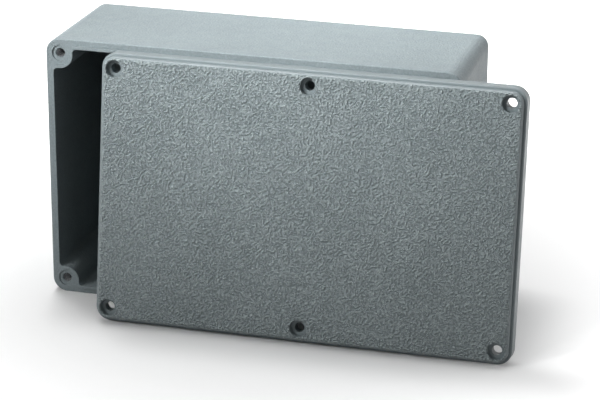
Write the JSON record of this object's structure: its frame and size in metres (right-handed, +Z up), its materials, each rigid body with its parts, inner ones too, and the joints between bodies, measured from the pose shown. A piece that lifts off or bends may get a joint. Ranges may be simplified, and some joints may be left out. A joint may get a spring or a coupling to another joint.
{
  "type": "die cast aluminium box",
  "caption": "Painted die cast aluminium enclosure for electronics, standing on a long side wall, with its screw-on lid taken off and leaning against the open front.",
  "frame": {"origin": "middle of the drafted long side wall that the box stands on, half way between the base and the flat of the rim", "axes": "+X along the length, to the right as seen from the open front; +Z up; the open front and the lid face -Y"},
  "size_m": [0.2184, 0.0983, 0.1205],
  "materials": {
    "box_paint": "satin",
    "lid_paint": "satin",
    "gasket_rubber": "matte"
  },
  "bodies": {
    "root": {"box": "box_paint", "lid": "lid_paint", "gasket": "gasket_rubber"}
  },
  "joints": []
}
